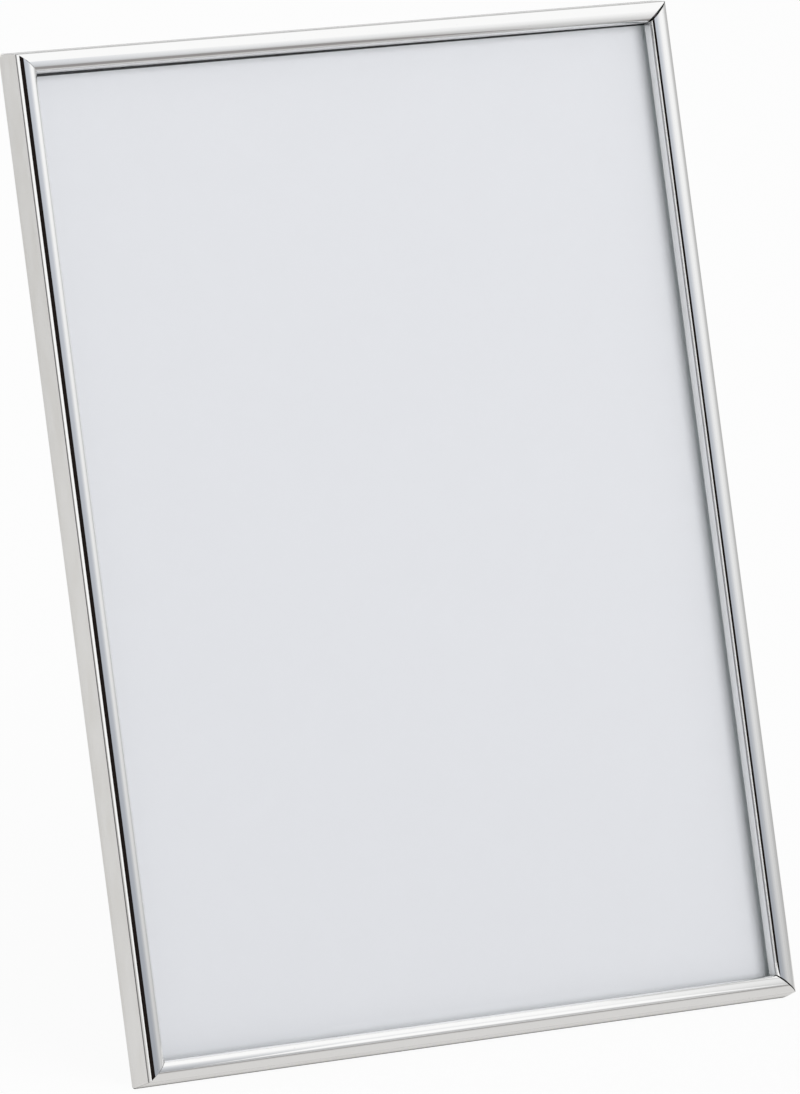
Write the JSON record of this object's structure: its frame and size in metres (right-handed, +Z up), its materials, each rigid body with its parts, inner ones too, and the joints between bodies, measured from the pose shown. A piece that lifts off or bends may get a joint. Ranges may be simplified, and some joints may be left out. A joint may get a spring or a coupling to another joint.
{
  "type": "photo frame",
  "caption": "Slim mitred silver metal photo frame with a rounded front bead, glass over a blank grey print, and a board back with easel strut, turn buttons and hanger rings.",
  "frame": {"origin": "on the table, below the middle of the standing frame's width and depth", "axes": "+Z up, +Y from the glass towards the strut, +X to the right as the glass is looked at"},
  "size_m": [0.1356, 0.0624, 0.1795],
  "materials": {
    "bright_metal": "bright plated, lightly drawn",
    "key_steel": "zinc plated",
    "clear_glass": "clear float glass",
    "grey_paper": "matt coated paper, blank",
    "dark_board": "fibreboard faced with dark flocked paper",
    "plated_steel": "nickel plated pressed steel"
  },
  "bodies": {
    "frame": {"rail_top": "bright_metal", "rail_bottom": "bright_metal", "rail_left": "bright_metal", "rail_right": "bright_metal", "corner_key_top_left": "key_steel", "corner_key_top_right": "key_steel", "corner_key_bottom_left": "key_steel", "corner_key_bottom_right": "key_steel", "glass_pane": "clear_glass", "print_sheet": "grey_paper", "back_board": "dark_board", "button_rivets": "plated_steel", "hinge_leaf_board": "plated_steel", "hinge_pin": "plated_steel", "hinge_board_rivets": "plated_steel", "hanger_strap_top": "plated_steel", "hanger_strap_side": "plated_steel", "hanger_rivets": "plated_steel"},
    "strut": {"strut": "dark_board", "hinge_leaf_strut": "plated_steel", "hinge_strut_rivets": "plated_steel"},
    "ring_top": {"hanger_ring_top": "plated_steel"},
    "ring_side": {"hanger_ring_side": "plated_steel"},
    "button_upper_left": {"turn_button_upper_left": "plated_steel"},
    "button_upper_right": {"turn_button_upper_right": "plated_steel"},
    "button_lower_left": {"turn_button_lower_left": "plated_steel"},
    "button_lower_right": {"turn_button_lower_right": "plated_steel"}
  },
  "joints": [
    {"name": "strut_fold", "type": "hinge", "parent": "frame", "child": "strut", "pos_m": [0, 0.01081, 0.12356], "axis": [1, 0, 0], "range_deg": [-24, 0]},
    {"name": "turn_upper_left", "type": "hinge", "parent": "frame", "child": "button_upper_left", "pos_m": [-0.0568, 0.01371, 0.13936], "axis": [0, -0.9641, 0.2656], "continuous": true},
    {"name": "turn_upper_right", "type": "hinge", "parent": "frame", "child": "button_upper_right", "pos_m": [0.0568, 0.01371, 0.13936], "axis": [0, -0.9641, 0.2656], "continuous": true},
    {"name": "turn_lower_left", "type": "hinge", "parent": "frame", "child": "button_lower_left", "pos_m": [-0.0568, -0.0139, 0.0391], "axis": [0, -0.9641, 0.2656], "continuous": true},
    {"name": "turn_lower_right", "type": "hinge", "parent": "frame", "child": "button_lower_right", "pos_m": [0.0568, -0.0139, 0.0391], "axis": [0, -0.9641, 0.2656], "continuous": true},
    {"name": "swing_ring_top", "type": "hinge", "parent": "frame", "child": "ring_top", "pos_m": [0, 0.0196, 0.15641], "axis": [1, 0, 0], "range_deg": [-178, 0]},
    {"name": "swing_ring_side", "type": "hinge", "parent": "frame", "child": "ring_side", "pos_m": [0.047, 0.00101, 0.08892], "axis": [0, 0.2656, 0.9641], "range_deg": [0, 178]}
  ]
}
